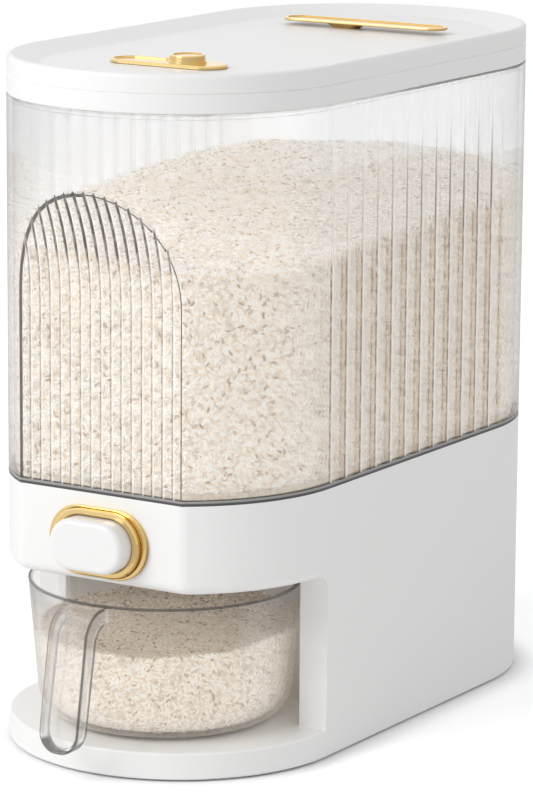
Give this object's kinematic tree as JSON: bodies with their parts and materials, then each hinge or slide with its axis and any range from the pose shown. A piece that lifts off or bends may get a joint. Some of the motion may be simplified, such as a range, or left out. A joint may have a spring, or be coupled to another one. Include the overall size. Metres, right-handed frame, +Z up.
{
  "type": "rice dispenser with measuring cup",
  "caption": "Oblong clear-walled rice dispenser on a white housing, with a push-button gate, a pull-out measuring cup and a lift-off lid.",
  "frame": {"origin": "on the floor plane, under the centre of the bounding box, which includes the cup's handle", "axes": "+Z up, -Y towards the front with the button and cup, +X to the viewer's right when facing the front"},
  "size_m": [0.18, 0.3826, 0.3617],
  "materials": {
    "housing_white": "satin",
    "lid_white": "satin",
    "button_white": "gloss",
    "bin_clear": "clear gloss",
    "cup_clear": "clear gloss",
    "gasket_grey": "satin",
    "gold_trim": "metallised gold",
    "inner_white": "matte",
    "seal_silicone": "matte",
    "feet_rubber": "matte",
    "screw_steel": "satin",
    "spring_steel": "bright",
    "sachet_paper": "matte"
  },
  "bodies": {
    "housing": {"housing": "housing_white", "bottom_cover": "inner_white", "cover_screws": "screw_steel", "rubber_feet": "feet_rubber", "funnel": "inner_white", "spout_collar": "inner_white", "hopper_gasket": "gasket_grey", "hopper_bin": "bin_clear", "bezel_ring": "gold_trim", "bezel_liner": "gold_trim", "spring_bracket": "inner_white", "bracket_screws": "screw_steel", "return_spring_left": "spring_steel", "return_spring_right": "spring_steel"},
    "button": {"button_cap": "button_white", "gate_slide": "inner_white", "button_screws": "screw_steel"},
    "cup": {"measuring_cup": "cup_clear"},
    "lid": {"lid_shell": "lid_white", "lid_base": "lid_white", "lid_seal": "seal_silicone", "lid_screws": "screw_steel", "handle_bar": "gold_trim", "handle_foot": "gold_trim", "handle_screws": "screw_steel", "desiccant_tub": "inner_white", "desiccant_sachet": "sachet_paper"},
    "tub_plate": {"lid_plate": "gold_trim", "plate_knob": "gold_trim", "knob_screw": "screw_steel", "plate_seal": "seal_silicone"}
  },
  "joints": [
    {"name": "button_push", "type": "slide", "parent": "housing", "child": "button", "axis": [0, 1, 0], "range_m": [0, 0.012], "stiffness_N_per_m": 300, "springref_m": -0.006, "deforming": ["return_spring_left", "return_spring_right"]},
    {"name": "cup_slide", "type": "slide", "parent": "housing", "child": "cup", "axis": [0, -1, 0], "range_m": [0, 0.2]},
    {"name": "lid_lift", "type": "slide", "parent": "housing", "child": "lid", "axis": [0, 0, 1], "range_m": [0, 0.1]},
    {"name": "plate_lift", "type": "slide", "parent": "lid", "child": "tub_plate", "axis": [0, 0, 1], "range_m": [0, 0.04]}
  ]
}
